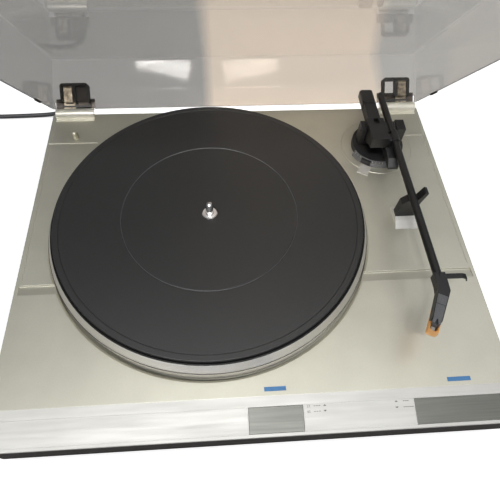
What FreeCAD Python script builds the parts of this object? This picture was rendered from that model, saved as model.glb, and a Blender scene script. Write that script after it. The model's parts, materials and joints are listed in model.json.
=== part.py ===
"""Turntable: belt driven, pivoted tonearm, keys on a sloping front strip, hinged clear cover.

Millimetres. The origin is on the spindle's axis at the mat's top, where a record lies.
+X is the right-hand side seen from the front, +Y is the rear and +Z is up.
"""
import FreeCAD, Part
import math
import os
import re
import Sketcher

doc = FreeCAD.newDocument("Turntable")
sheet = doc.addObject("Spreadsheet::Sheet", "Sizes")
places = {}
pieces = []
WORD = re.compile(r"[A-Za-z_][A-Za-z_0-9]*")


# Driving sizes

SIZES = {
    "plinth_width": 430,
    "deck_depth": 333.6,
    "spindle_left": 178.7,
    "spindle_rear": 163.3,
    "record_height": 22.5,
    "deck_thick": 3,
    "case_wall": 2.2,
    "case_height": 46,
    "front_taper": 2,
    "foot_height": 12,
    "foot_radius": 15,
    "foot_inset": 34,
    "cover_thick": 3,
    "fit_gap": 0.3,
    "strip_run": 30.4,
    "strip_angle": 12,
    "strip_thick": 3,
    "row_start": 8.1,
    "row_end": 28,
    "plate_thick": 1,
    "end_wall": 2.5,
    "speed_key_left": 205.4,
    "key_width": 44.6,
    "panel_width": 90.6,
    "key_gap": 0.7,
    "key_travel": 2.5,
    "key_thick": 2.2,
    "key_stem": 2,
    "well_radius": 155.5,
    "well_bevel": 1.8,
    "well_depth": 14,
    "well_wall": 2.5,
    "groove_front": 101.1,
    "groove_width": 10.1,
    "groove_inset": 3.2,
    "groove_shallow": 0.5,
    "side_line": 4.6,
    "groove_deep": 1.6,
    "rear_line": 46,
    "spindle_radius": 3.55,
    "spindle_above": 14,
    "spindle_below": 57,
    "spindle_tip": 2.6,
    "bearing_clearance": 0.04,
    "mat_radius": 147,
    "mat_thick": 3.6,
    "mat_border": 5.8,
    "mat_hole": 7.6,
    "mat_ring": 84.1,
    "platter_edge": 149.1,
    "platter_radius": 152.8,
    "platter_flare": 8,
    "platter_web": 3.5,
    "platter_skirt": 23.9,
    "platter_wall": 3.2,
    "belt_rim": 89,
    "belt_rim_wall": 3,
    "collar_radius": 6.8,
    "hub_radius": 12,
    "housing_radius": 8,
    "housing_flange": 20,
    "bush_radius": 5.5,
    "bush_length": 8,
    "motor_radius": 18,
    "motor_height": 26,
    "motor_left": 79,
    "motor_back": 79,
    "motor_shaft": 1,
    "pulley_radius": 6.5,
    "pulley_height": 9,
    "belt_width": 5,
    "belt_thick": 0.8,
    "belt_level": 17.5,
    "peg_left": 30.2,
    "peg_rear": 36.7,
    "peg_radius": 3.4,
    "peg_height": 9.5,
    "pin_behind": 4.8,
    "pin_radius": 2,
    "knuckle_radius": 3.6,
    "hinge_width": 43,
    "hinge_inset": 4.7,
    "clip_width": 32,
    "clip_low": 5,
    "clip_top": 31,
    "clip_border": 2.2,
    "clip_corner": 3.5,
    "clip_deep": 1.8,
    "barrel_radius": 6.25,
    "barrel_wall": 1.1,
    "lid_width": 427.4,
    "lid_length": 333,
    "lid_height": 56,
    "lid_wall": 2.5,
    "lid_slope": 3.68,
    "lid_rim": 2,
    "lid_corner": 6,
    "lid_open": 52.16,
    "lid_notch": 9.5,
    "pivot_right": 62.5,
    "pivot_rear": 62,
    "pivot_height": 27,
    "arm_yaw": 1.1,
    "arm_rise": 2.93,
    "arm_disc": 28.3,
    "arm_disc_height": 6.5,
    "scale_radius": 32.5,
    "scale_span": 96,
    "scale_middle": -110,
    "scale_top": 6.2,
    "column_radius": 8,
    "arm_shaft": 4,
    "shaft_clearance": 0.06,
    "yoke_left": 23.2,
    "yoke_right": 24,
    "yoke_top": 14,
    "ear_thick": 5.1,
    "box_width": 9.5,
    "ear_height": 30,
    "carrier_left": 17.5,
    "carrier_width": 18,
    "carrier_front": 26,
    "carrier_back": 7,
    "carrier_top": 9,
    "tube_radius": 3.7,
    "tube_bore": 3.1,
    "tube_across": 7.9,
    "tube_up": 3.3,
    "tube_back": 56,
    "tube_front": 192,
    "weight_width": 15,
    "weight_length": 22.4,
    "weight_height": 11.5,
    "shroud_length": 26,
    "shroud_width": 13.2,
    "shroud_top": 8.4,
    "shroud_drop": 1.8,
    "weight_lap": 0.5,
    "weight_travel": 3,
    "skirt_gap": 0.2,
    "weight_grip": 16,
    "weight_drop": 2.5,
    "stem_up": 3,
    "stem_inset": 8.2,
    "stem_radius": 3.2,
    "bend_front": 202,
    "head_angle": 26.5,
    "neck_rear": 188,
    "neck_left": 4.2,
    "neck_right": 5.3,
    "head_offset": 1.6,
    "head_width": 9.8,
    "head_front_width": 8.1,
    "head_length": 33.5,
    "head_top": 3.7,
    "head_drop": 5.6,
    "nest_clearance": 0.05,
    "cartridge_width": 8,
    "cartridge_front_width": 6.5,
    "cartridge_start": 9.3,
    "cartridge_end": 36.8,
    "cartridge_top": 3.9,
    "cartridge_drop": 7.6,
    "cartridge_split": 18.6,
    "guard_width": 8.8,
    "guard_end": 42.5,
    "guard_top": 0.4,
    "guard_drop": 9,
    "guard_arm": 0.9,
    "holder_width": 6.4,
    "holder_start": 13,
    "holder_drop": 12.6,
    "lift_front": 89,
    "lift_length": 22.5,
    "lift_width": 10.5,
    "lift_top": 26,
    "rest_front": 164,
    "rest_depth": 8,
    "rest_left": 149.7,
    "rest_width": 19.1,
    "cord_radius": 2.8,
    "bearing_radius": 4,
    "lift_reach": 22,
    "gland_left": 30,
    "gland_drop": 38,
    "gland_length": 16,
    "coil_outer": 43,
    "coil_inner": 19.5,
    "coil_tall": 12,
}
for row, (name, number) in enumerate(SIZES.items(), 1):
    sheet.set("A%d" % row, name)
    sheet.set("B%d" % row, str(number))
    sheet.setAlias("B%d" % row, name)

# Places and expressions


def expand(text):
    """Turn names of sizes and places into an expression that FreeCAD reads."""
    def known(match):
        word = match.group(0)
        if word in SIZES:
            return "Sizes." + word
        return places.get(word, word)
    return WORD.sub(known, str(text))


def place(name, text):
    """Name a position that follows from the sizes."""
    places[name] = "(" + expand(text) + ")"


def value(text):
    """The number that an expression comes to."""
    return float(sheet.evalExpression(expand(text)))


# Primitives, booleans and bodies


def at(obj, x, y, z):
    """Bind an object's position."""
    obj.setExpression("Placement.Base.x", expand(x))
    obj.setExpression("Placement.Base.y", expand(y))
    obj.setExpression("Placement.Base.z", expand(z))
    return obj


def block(x, y, z, length, width, height):
    """A box from its lowest corner."""
    obj = doc.addObject("Part::Box", "Block")
    obj.setExpression("Length", expand(length))
    obj.setExpression("Width", expand(width))
    obj.setExpression("Height", expand(height))
    return at(obj, x, y, z)


TURN = {
    "x": FreeCAD.Rotation(FreeCAD.Vector(0, 1, 0), 90),
    "y": FreeCAD.Rotation(FreeCAD.Vector(1, 0, 0), -90),
    "z": FreeCAD.Rotation(),
}


def rod(x, y, z, radius, length, along="z"):
    """A cylinder from the centre of its first end."""
    obj = doc.addObject("Part::Cylinder", "Rod")
    obj.Placement.Rotation = TURN[along]
    obj.setExpression("Radius", expand(radius))
    obj.setExpression("Height", expand(length))
    return at(obj, x, y, z)


def cone(x, y, z, radius, end_radius, length, along="z"):
    """A cone or tapered pin from the centre of its first end."""
    obj = doc.addObject("Part::Cone", "Taper")
    obj.Placement.Rotation = TURN[along]
    obj.setExpression("Radius1", expand(radius))
    obj.setExpression("Radius2", expand(end_radius))
    obj.setExpression("Height", expand(length))
    return at(obj, x, y, z)


def ball(x, y, z, radius):
    obj = doc.addObject("Part::Sphere", "Ball")
    obj.setExpression("Radius", expand(radius))
    return at(obj, x, y, z)


def fuse(*parts):
    obj = doc.addObject("Part::MultiFuse", "Fused")
    obj.Shapes = list(parts)
    obj.Refine = True
    return obj


def bundle(*parts):
    """Wrap placed objects, so that the whole of them can be placed again."""
    wrapper = doc.addObject("Part::Compound", "Bundle")
    wrapper.Links = list(parts)
    return wrapper


def cut(base, *tools):
    obj = doc.addObject("Part::Cut", "Cut")
    obj.Base = base
    obj.Tool = tools[0] if len(tools) == 1 else fuse(*tools)
    return obj


def rounded(base, radius, picked):
    """Fillet the edges of a finished solid that a test picks."""
    doc.recompute()
    obj = doc.addObject("Part::Fillet", "Rounded")
    obj.Base = base
    amount = value(radius)
    edges = base.Shape.Edges
    obj.Edges = [(i + 1, amount, amount) for i, edge in enumerate(edges) if picked(edge)]
    return obj


def runs_along(edge, axis):
    """True for a straight edge parallel to an axis (0, 1 or 2 for X, Y or Z)."""
    if edge.Curve.TypeId != "Part::GeomLine":
        return False
    return abs(abs(edge.Curve.Direction[axis]) - 1) < 1e-6


def new_body():
    return doc.addObject("PartDesign::Body", "Body")


PLANES = {"plan": "XY_Plane", "front": "XZ_Plane", "side": "YZ_Plane"}


def outline(body, plane, offset, points):
    """A closed sketch with straight sides, each corner bound to two expressions."""
    sketch = body.newObject("Sketcher::SketchObject", "Outline")
    datum = [o for o in body.Origin.OriginFeatures if o.Role == PLANES[plane]][0]
    sketch.AttachmentSupport = [(datum, "")]
    sketch.MapMode = "FlatFace"
    sketch.setExpression("AttachmentOffset.Base.z", expand(offset))
    corners = [FreeCAD.Vector(value(a), value(b), 0) for a, b in points]
    count = len(corners)
    for i, corner in enumerate(corners):
        sketch.addGeometry(Part.LineSegment(corner, corners[(i + 1) % count]), False)
    for i in range(count):
        sketch.addConstraint(Sketcher.Constraint("Coincident", i, 2, (i + 1) % count, 1))
    for i, (a, b) in enumerate(points):
        for kind, label, text, number in (
            ("DistanceX", "across%d" % i, a, corners[i].x),
            ("DistanceY", "up%d" % i, b, corners[i].y),
        ):
            index = sketch.addConstraint(Sketcher.Constraint(kind, -1, 1, i, 1, number))
            sketch.renameConstraint(index, label)
            sketch.setExpression("Constraints." + label, expand(text))
    return sketch


def pad(body, sketch, length, taper=None):
    feature = body.newObject("PartDesign::Pad", "Pad")
    feature.Profile = sketch
    feature.setExpression("Length", expand(length))
    if taper:
        feature.setExpression("TaperAngle", expand(taper))
    return body


def extruded(plane, offset, points, length):
    """A body made of one sketch pushed along its plane's normal (front pushes to -Y)."""
    body = new_body()
    return pad(body, outline(body, plane, offset, points), length)


def turned(points, span=None):
    """A body turned about its own vertical axis from corners (radius, height), whole or a sector about +X."""
    body = new_body()
    sketch = outline(body, "front", "0", points)
    feature = body.newObject("PartDesign::Revolution", "Turned")
    feature.Profile = sketch
    feature.ReferenceAxis = (sketch, ["V_Axis"])
    if span:
        feature.setExpression("Angle", expand(span))
        feature.Midplane = True
    else:
        feature.Angle = 360
    return body


def piece(obj, label):
    """Keep an object as a sub-part under its own name."""
    obj.Label = label
    pieces.append(obj)
    return obj


def group(label, *parts):
    """Keep equal or paired solids as one sub-part."""
    return piece(bundle(*parts), label)


# Places

place("deck_top", "-record_height")
place("left", "-spindle_left")
place("right", "plinth_width - spindle_left")
place("middle", "plinth_width / 2 - spindle_left")
place("rear", "spindle_rear")
place("front", "spindle_rear - deck_depth")
place("nose", "front - strip_run")
place("slope", "tan(strip_angle)")
place("under_deck", "deck_top - deck_thick")
place("case_bottom", "deck_top - case_height")
place("floor", "case_bottom - foot_height")
place("cover_top", "case_bottom + cover_thick")
place("well_floor", "deck_top - well_depth + well_wall")
place("well_under", "deck_top - well_depth")
place("platter_top", "-mat_thick")
place("web_under", "platter_top - platter_web")
place("skirt_bottom", "platter_top - platter_skirt")
place("motor_x", "-motor_left")
place("motor_y", "motor_back")
place("hinge_y", "rear + pin_behind")
place("pivot_x", "right - pivot_right")
place("pivot_y", "rear - pivot_rear")
place("lift_x", "pivot_x + 3")
place("lift_y", "pivot_y - lift_reach")
place("panel_left", "left + speed_key_left + key_width + key_gap")
place("cue_left", "panel_left + panel_width + key_gap")
doc.recompute()


# Case: walls, deck, bottom cover and feet


def case_shell():
    """Four walls under the deck, with a screw post in each corner."""
    body = new_body()
    strip_under = "deck_top - strip_run * slope - strip_thick"
    outer = outline(body, "side", "left", [
        ("rear", "case_bottom"),
        ("rear", "under_deck"),
        ("front", "under_deck"),
        ("nose", strip_under),
        ("nose + front_taper", "case_bottom"),
    ])
    pad(body, outer, "plinth_width")
    inner = outline(body, "side", "left + case_wall", [
        ("rear - case_wall", "case_bottom - 1"),
        ("rear - case_wall", "deck_top"),
        ("nose + case_wall", "deck_top"),
        ("nose + case_wall", strip_under),
        ("nose + front_taper + case_wall", "case_bottom - 1"),
    ])
    pocket = body.newObject("PartDesign::Pocket", "Inside")
    pocket.Profile = inner
    pocket.setExpression("Length", expand("plinth_width - 2 * case_wall"))
    pocket.Reversed = True
    return body


POST_INSET = "(case_wall + 3.5)"
corners = [
    (x, y)
    for x in ("left + " + POST_INSET, "right - " + POST_INSET)
    for y in ("rear - " + POST_INSET, "front + 4")
]
shell = case_shell()
posts = [rod(x, y, "cover_top", "4", "under_deck - cover_top") for x, y in corners]
pilots = [rod(x, y, "cover_top - 1", "1.4", "20") for x, y in corners]
lead_hole = rod("left + gland_left", "rear - case_wall - 1", "deck_top - gland_drop", "4.2", "case_wall + 2", "y")
piece(cut(fuse(shell, *posts), *pilots, lead_hole), "plinth_shell")

board = extruded("plan", "case_bottom", [
    ("left + case_wall + fit_gap", "nose + front_taper + case_wall + fit_gap"),
    ("right - case_wall - fit_gap", "nose + front_taper + case_wall + fit_gap"),
    ("right - case_wall - fit_gap", "rear - case_wall - fit_gap"),
    ("left + case_wall + fit_gap", "rear - case_wall - fit_gap"),
], "cover_thick")
holes = [rod(x, y, "case_bottom - 1", "1.8", "cover_thick + 2") for x, y in corners]
vents = [
    block("left + 30 + %d" % (8 * row), "front + 26", "case_bottom - 1", "3", "26", "cover_thick + 2")
    for row in range(9)
]
piece(cut(board, *holes, *vents), "bottom_cover")

screws = []
for x, y in corners:
    head = rod(x, y, "case_bottom - 1.8", "3.2", "1.8")
    shank = rod(x, y, "case_bottom", "1.4", "cover_thick + 12")
    screws.append(fuse(head, shank))
group("base_screws", *screws)

feet = []
for x in ("left + foot_inset", "right - foot_inset"):
    for y in ("rear - foot_inset", "nose + foot_inset"):
        foot = turned([
            ("0", "0"),
            ("foot_radius - 2", "0"),
            ("foot_radius - 1", "1.5"),
            ("foot_radius", "foot_height - 2"),
            ("foot_radius", "foot_height"),
            ("0", "foot_height"),
        ])
        feet.append(at(foot, x, y, "floor"))
group("feet", *feet)


def deck_plate():
    """The deck with the round well that the platter runs in."""
    plate = block("left", "front", "under_deck", "plinth_width", "deck_depth", "deck_thick")
    cup = turned([
        ("housing_radius + fit_gap", "well_under"),
        ("well_radius + well_wall", "well_under"),
        ("well_radius + well_wall", "under_deck + 1"),
        ("well_radius", "under_deck + 1"),
        ("well_radius", "well_floor"),
        ("housing_radius + fit_gap", "well_floor"),
    ])
    mouth = rod("0", "0", "under_deck - 0.01", "well_radius", "deck_thick + 1")
    bevel = cone("0", "0", "deck_top - well_bevel / 2", "well_radius",
                 "well_radius + 2 * well_bevel", "well_bevel")
    groove = extruded("side", "left + groove_inset", [
        ("front + groove_front", "deck_top - groove_shallow"),
        ("front + groove_front + groove_width - 1", "deck_top - groove_deep"),
        ("front + groove_front + groove_width", "deck_top + 0.2"),
        ("front + groove_front", "deck_top + 0.2"),
    ], "plinth_width - 2 * groove_inset")
    rear_line = "rear - rear_line - 0.5"
    lines = [
        block(x, rear_line, "deck_top - 0.5", length, "1", "1")
        for x, length in (("left + 2", "53"), ("right - 43", "41"))
    ]
    for x in ("left + side_line", "right - side_line - 0.5"):
        fold_start = "front + groove_front + groove_width + 4"
        lines.append(block(x, fold_start, "deck_top - 0.4", "0.5", "rear - 20 - (%s)" % fold_start, "1"))
    pulley_window = rod("motor_x", "motor_y", "well_under - 1", "pulley_radius + 2.5", "well_wall + 2")
    arm_hole = rod("pivot_x", "pivot_y", "under_deck - 1", "arm_shaft + 8", "deck_thick + 2")
    lift_hole = rod("lift_x", "lift_y", "under_deck - 1", "5.3", "deck_thick + 2")
    return cut(fuse(cut(plate, mouth), cup), bevel, groove, *lines, pulley_window, arm_hole, lift_hole)


piece(deck_plate(), "deck_plate")


# Sloping front strip with its trim plates and keys


def sloped(start, stop, top, bottom, x, length):
    """A slab parallel to the sloping front, from start to stop mm before the deck's front line."""
    return extruded("side", x, [
        ("front - (%s)" % start, "deck_top - (%s) * slope + (%s)" % (start, top)),
        ("front - (%s)" % stop, "deck_top - (%s) * slope + (%s)" % (stop, top)),
        ("front - (%s)" % stop, "deck_top - (%s) * slope - (%s)" % (stop, bottom)),
        ("front - (%s)" % start, "deck_top - (%s) * slope - (%s)" % (start, bottom)),
    ], length)


PLATE_LENGTH = "speed_key_left - end_wall - key_gap"
CUE_LENGTH = "right - end_wall - cue_left"
strip = sloped("0", "strip_run", "0", "strip_thick", "left", "plinth_width")
trim_recess = sloped("row_start", "row_end", "1", "plate_thick", "left + end_wall", PLATE_LENGTH)
panel_recess = sloped("row_start", "row_end", "1", "plate_thick", "panel_left", "panel_width")
speed_window = sloped("row_start", "row_end", "1", "strip_thick + 1",
                      "left + speed_key_left", "key_width")
cue_window = sloped("row_start", "row_end", "1", "strip_thick + 1", "cue_left", CUE_LENGTH)
piece(cut(strip, trim_recess, panel_recess, speed_window, cue_window), "front_strip")
piece(sloped("row_start", "row_end", "0", "plate_thick", "left + end_wall", PLATE_LENGTH),
      "left_trim_plate")
piece(sloped("row_start", "row_end", "0", "plate_thick", "panel_left", "panel_width"),
      "centre_panel")


def key(x, length):
    """A key cap with a stem that reaches down to its switch or lever."""
    cap = sloped("row_start + fit_gap", "row_end - fit_gap", "0", "key_thick",
                 x + " + fit_gap", length + " - 2 * fit_gap")
    across = x + " + (" + length + ") / 2"
    stem = rod(across, "front - (row_start + row_end) / 2", "deck_top - 20", "key_stem", "14.5")
    return fuse(cap, stem)


piece(key("left + speed_key_left", "key_width"), "speed_key")
piece(key("cue_left", CUE_LENGTH), "cue_key")


# Platter, its bearing and the belt drive

spindle = turned([
    ("0", "-spindle_below"),
    ("bearing_radius", "-spindle_below"),
    ("bearing_radius", "0"),
    ("spindle_radius", "0"),
    ("spindle_radius", "spindle_above - spindle_tip"),
    ("spindle_radius * 0.75", "spindle_above - spindle_tip * 0.35"),
    ("spindle_radius * 0.35", "spindle_above"),
    ("0", "spindle_above"),
])
piece(spindle, "spindle")

lip_top = "platter_top - platter_flare"
platter = turned([
    ("bearing_radius", "web_under - 18"),
    ("hub_radius", "web_under - 18"),
    ("hub_radius + 1", "web_under"),
    ("belt_rim - belt_rim_wall", "web_under"),
    ("belt_rim - belt_rim_wall", "web_under - 20"),
    ("belt_rim", "web_under - 20"),
    ("belt_rim", "web_under"),
    ("platter_radius - platter_wall - 3", "web_under"),
    ("platter_radius - platter_wall", lip_top),
    ("platter_radius - platter_wall", "skirt_bottom"),
    ("platter_radius - 0.4", "skirt_bottom"),
    ("platter_radius - 0.4", lip_top + " - 2.3"),
    ("platter_radius + 0.4", lip_top + " - 2.3"),
    ("platter_radius + 0.4", lip_top + " - 1.3"),
    ("platter_radius - 1.2", lip_top + " - 1.1"),
    ("platter_radius - 1.2", lip_top + " - 0.4"),
    ("platter_radius", lip_top),
    ("platter_edge", "platter_top"),
    ("collar_radius", "platter_top"),
    ("collar_radius", "-0.6"),
    ("bearing_radius", "-0.6"),
])
piece(platter, "platter")

field = "-0.5"
mat = turned([
    ("mat_hole", "platter_top"),
    ("mat_radius", "platter_top"),
    ("mat_radius", "-0.7"),
    ("mat_radius - 0.7", "0"),
    ("mat_radius - mat_border + 0.4", "0"),
    ("mat_radius - mat_border", field),
    ("mat_ring + 0.6", field),
    ("mat_ring + 0.2", field + " - 0.5"),
    ("mat_ring - 0.2", field + " - 0.5"),
    ("mat_ring - 0.6", field),
    ("mat_hole", field),
])
piece(mat, "rubber_mat")

housing_bottom = "-spindle_below - 7.5"
housing = turned([
    ("0", housing_bottom),
    ("housing_radius", housing_bottom),
    ("housing_radius", "well_floor"),
    ("housing_flange", "well_floor"),
    ("housing_flange", "well_floor + 2"),
    ("housing_radius + 1", "well_floor + 3"),
    ("bush_radius", "well_floor + 3"),
    ("bush_radius", "-spindle_below - 5.5"),
    ("0", "-spindle_below - 5.5"),
])
piece(housing, "bearing_housing")


def bush(bottom):
    ring = rod("0", "0", bottom, "bush_radius", "bush_length")
    bore = rod("0", "0", bottom + " - 1", "bearing_radius + bearing_clearance", "bush_length + 2")
    return cut(ring, bore)


group("bearing_bushes", bush("well_floor + 3 - bush_length"), bush("-spindle_below + 1"))
thrust = rod("0", "0", "-spindle_below - 5.5", "bush_radius", "1.2")
thrust_ball = ball("0", "0", "-spindle_below - 2.3", "2")
piece(fuse(thrust, thrust_ball), "thrust_bearing")

can = rod("motor_x", "motor_y", "well_under - motor_height", "motor_radius", "motor_height")
boss = rod("motor_x", "motor_y", "well_under", "5", "well_wall")
flange = rod("motor_x", "motor_y", "well_under - 1.6", "motor_radius + 5", "1.6")
terminals = block("motor_x - 6", "motor_y - motor_radius - 4", "well_under - motor_height + 3", "12", "8", "7")
piece(fuse(can, boss, flange, terminals), "motor")
shaft = rod("motor_x", "motor_y", "well_under + well_wall + fit_gap", "motor_shaft", "13")
piece(shaft, "motor_shaft")
pulley = turned([
    ("motor_shaft", "0"),
    ("pulley_radius + 1", "0"),
    ("pulley_radius + 1", "1"),
    ("pulley_radius", "1.6"),
    ("pulley_radius", "pulley_height - 1.6"),
    ("pulley_radius + 1", "pulley_height - 1"),
    ("pulley_radius + 1", "pulley_height"),
    ("motor_shaft", "pulley_height"),
])
piece(at(pulley, "motor_x", "motor_y", "-belt_level - pulley_height / 2"), "motor_pulley")


def loop_face(rim, small, distance):
    """The area inside a belt run round two wheels, with the large wheel at the origin."""
    spread = math.acos((rim - small) / distance)
    ends = []
    for radius, centre in ((rim, 0), (small, distance)):
        for sign in (1, -1):
            across = centre + radius * math.cos(spread)
            ends.append(FreeCAD.Vector(across, sign * radius * math.sin(spread), 0))
    upper, lower, far_upper, far_lower = ends
    round_rim = Part.Arc(upper, FreeCAD.Vector(-rim, 0, 0), lower)
    round_small = Part.Arc(far_lower, FreeCAD.Vector(distance + small, 0, 0), far_upper)
    edges = [
        round_rim.toShape(),
        Part.makeLine(lower, far_lower),
        round_small.toShape(),
        Part.makeLine(far_upper, upper),
    ]
    return Part.Face(Part.Wire(edges))


belt = doc.addObject("Part::Feature", "Belt")
inner_gap = value("fit_gap")
outer_gap = value("fit_gap + belt_thick")
reach = math.hypot(value("motor_x"), value("motor_y"))
outside = loop_face(value("belt_rim") + outer_gap, value("pulley_radius") + outer_gap, reach)
inside = loop_face(value("belt_rim") + inner_gap, value("pulley_radius") + inner_gap, reach)
height = FreeCAD.Vector(0, 0, value("belt_width"))
belt.Shape = outside.extrude(height).cut(inside.extrude(height))
belt.Placement.Base = FreeCAD.Vector(0, 0, value("-belt_level - belt_width / 2"))
heading = math.degrees(math.atan2(value("motor_y"), value("motor_x")))
belt.Placement.Rotation = FreeCAD.Rotation(FreeCAD.Vector(0, 0, 1), heading)
piece(belt, "drive_belt")

# Electrics inside the case

core = block("left + 16", "front + 24", "cover_top", "42", "34", "24")
winding = block("left + 24", "front + 18", "cover_top + 4", "26", "46", "16")
tab = block("left + 9", "front + 31", "cover_top", "56", "20", "1.6")
tab_holes = [rod(x, "front + 41", "cover_top - 1", "2", "4") for x in ("left + 12.5", "left + 61.5")]
piece(fuse(core, winding, cut(tab, *tab_holes)), "mains_transformer")
board_posts = [
    rod("middle + %d" % x, "front + %d" % y, "cover_top", "2.5", "6")
    for x in (8, 102) for y in (14, 54)
]
panel = block("middle", "front + 8", "cover_top + 6", "110", "52", "1.6")
board_top = "cover_top + 7.6"
cans = [
    rod("middle + %d" % x, "front + %d" % y, board_top, radius, height)
    for x, y, radius, height in ((20, 24, "5", "12"), (34, 24, "5", "12"), (50, 42, "3.2", "8"), (78, 20, "3.2", "8"))
]
socket = block("middle + 84", "front + 36", board_top, "16", "8", "9")
heat_plate = block("middle + 62", "front + 50", board_top, "24", "2", "14")
piece(fuse(panel, *board_posts, *cans, socket, heat_plate), "circuit_board")
switch_x = "left + speed_key_left + key_width / 2"
switch_y = "front - (row_start + row_end) / 2"
switch = block(switch_x + " - 7", switch_y + " - 5", "cover_top", "14", "10",
               "deck_top - 20 - key_travel - fit_gap - cover_top")
piece(switch, "speed_switch")
cue_x = "cue_left + (" + CUE_LENGTH + ") / 2"
rocker = block(cue_x + " - 4", switch_y + " - 5", "cover_top", "8", "10",
               "deck_top - 20 - key_travel - fit_gap - cover_top")
piece(rocker, "cue_damper")

# Adaptor peg on the rear of the deck

peg = turned([
    ("0", "0"),
    ("peg_radius", "0"),
    ("peg_radius", "peg_height - 1.2"),
    ("peg_radius - 1.2", "peg_height"),
    ("0", "peg_height"),
])
piece(at(peg, "left + peg_left", "rear - peg_rear", "deck_top"), "adaptor_peg")

# Hinges: cover barrels, brackets and pins on the case

hinge_lefts = ("left + hinge_inset", "right - hinge_inset - hinge_width")
barrels = []
brackets = []
pins = []
for x in hinge_lefts:
    barrel_y = "rear - 1"
    barrel_z = "deck_top + 1.75"
    skin = rod(x, barrel_y, barrel_z, "barrel_radius", "hinge_width", "x")
    hollow = rod(x + " - 1", barrel_y, barrel_z, "barrel_radius - barrel_wall", "hinge_width + 2", "x")
    behind = extruded("side", x + " - 1", [
        (barrel_y, barrel_z),
        (barrel_y + " + barrel_radius", barrel_z + " + barrel_radius * 1.19"),
        (barrel_y + " + barrel_radius + 4", barrel_z + " + barrel_radius * 1.19"),
        (barrel_y + " + barrel_radius + 4", "deck_top - 8"),
        (barrel_y, "deck_top - 8"),
    ], "hinge_width + 2")
    below = block(x + " - 1", "rear - 12", "deck_top - 8", "hinge_width + 2", "11.5", "8")
    flange = block(x, "rear - 10.8", "deck_top", "hinge_width", "4.4", "0.8")
    caps = [
        rod(end, barrel_y, barrel_z, "barrel_radius - barrel_wall / 2", "1.2", "x")
        for end in (x + " + 0.4", x + " + hinge_width - 1.6")
    ]
    barrels.append(fuse(cut(fuse(cut(skin, hollow), *caps), behind, below), flange))
    bracket_plate = block(x + " + 4", "rear", "deck_top - 30", "hinge_width - 8", "1.5", "26")
    bracket = [bracket_plate]
    for ear in (" + 4", " + hinge_width - 6"):
        bracket.append(block(x + ear, "rear", "deck_top - 10", "2", "pin_behind", "10 + knuckle_radius"))
        bracket.append(rod(x + ear, "hinge_y", "deck_top", "knuckle_radius", "2", "x"))
    bore = rod(x, "hinge_y", "deck_top", "pin_radius", "hinge_width", "x")
    brackets.append(cut(fuse(*bracket), bore))
    pins.append(rod(x + " + 3", "hinge_y", "deck_top", "pin_radius", "hinge_width - 6", "x"))
group("hinge_covers", *barrels)
group("hinge_brackets", *brackets)
group("hinge_pins", *pins)

# Dust cover and what moves with it, drawn closed about the hinge pin and then opened

lid_turn = FreeCAD.Rotation(FreeCAD.Vector(1, 0, 0), -value("lid_open"))


def opened(*parts):
    """Turn pieces that were drawn on the closed cover to their open place."""
    obj = bundle(*parts)
    obj.Placement.Rotation = lid_turn
    return at(obj, "middle", "hinge_y", "deck_top")


def rising_edges(shape):
    """Names of the edges that climb, as the corners of a tapered box do."""
    return [
        "Edge%d" % (i + 1)
        for i, edge in enumerate(shape.Edges)
        if abs(edge.Vertexes[0].Z - edge.Vertexes[-1].Z) > 10
    ]


def level_edges(shape, height):
    """Names of the edges that lie at one height."""
    return [
        "Edge%d" % (i + 1)
        for i, edge in enumerate(shape.Edges)
        if all(abs(v.Z - height) < 0.01 for v in edge.Vertexes)
    ]


def soften(body, edges, radius):
    """Fillet named edges of a body's newest feature."""
    solid = body.Tip
    feature = body.newObject("PartDesign::Fillet", "Soft")
    feature.Base = (solid, edges)
    feature.setExpression("Radius", expand(radius))
    doc.recompute()
    body.Tip = feature


def tapered_box(inset, height, radius):
    """A box that narrows upwards from the cover's rim, with rounded corners and brow."""
    body = new_body()
    half = "lid_width / 2 - " + inset
    rim = outline(body, "plan", "lid_rim", [
        ("-(%s)" % half, "-pin_behind - lid_length + " + inset),
        (half, "-pin_behind - lid_length + " + inset),
        (half, "-pin_behind - " + inset),
        ("-(%s)" % half, "-pin_behind - " + inset),
    ])
    pad(body, rim, height, "-lid_slope")
    doc.recompute()
    soften(body, rising_edges(body.Tip.Shape), radius)
    soften(body, level_edges(body.Tip.Shape, value("lid_rim + " + height)), radius + " - 1.5")
    return body


def lid_shell():
    """Clear walls and top, open below."""
    outside = tapered_box("0", "lid_height", "lid_corner")
    inside = tapered_box("lid_wall", "lid_height - lid_wall", "lid_corner - lid_wall")
    return cut(outside, inside)


notch_side = "plinth_width / 2 - hinge_inset - hinge_width - 1"
notches = []
for x in ("-lid_width / 2 + lid_wall + 0.6", notch_side):
    notches.append(block(x, "-pin_behind - lid_wall - 2", "0",
                         "lid_width / 2 - lid_wall - 0.6 - (%s)" % notch_side,
                         "lid_wall + 4", "lid_notch"))
piece(opened(cut(lid_shell(), *notches)), "dust_cover")

bumpers = []
for x in ("-lid_width / 2 + 1", "lid_width / 2 - 1 - 2.2"):
    for y in ("-pin_behind - 60", "-pin_behind - lid_length + 20"):
        bumpers.append(block(x, y, "fit_gap", "2.2", "14", "lid_rim - fit_gap"))
piece(opened(*bumpers), "lid_bumpers")

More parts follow.
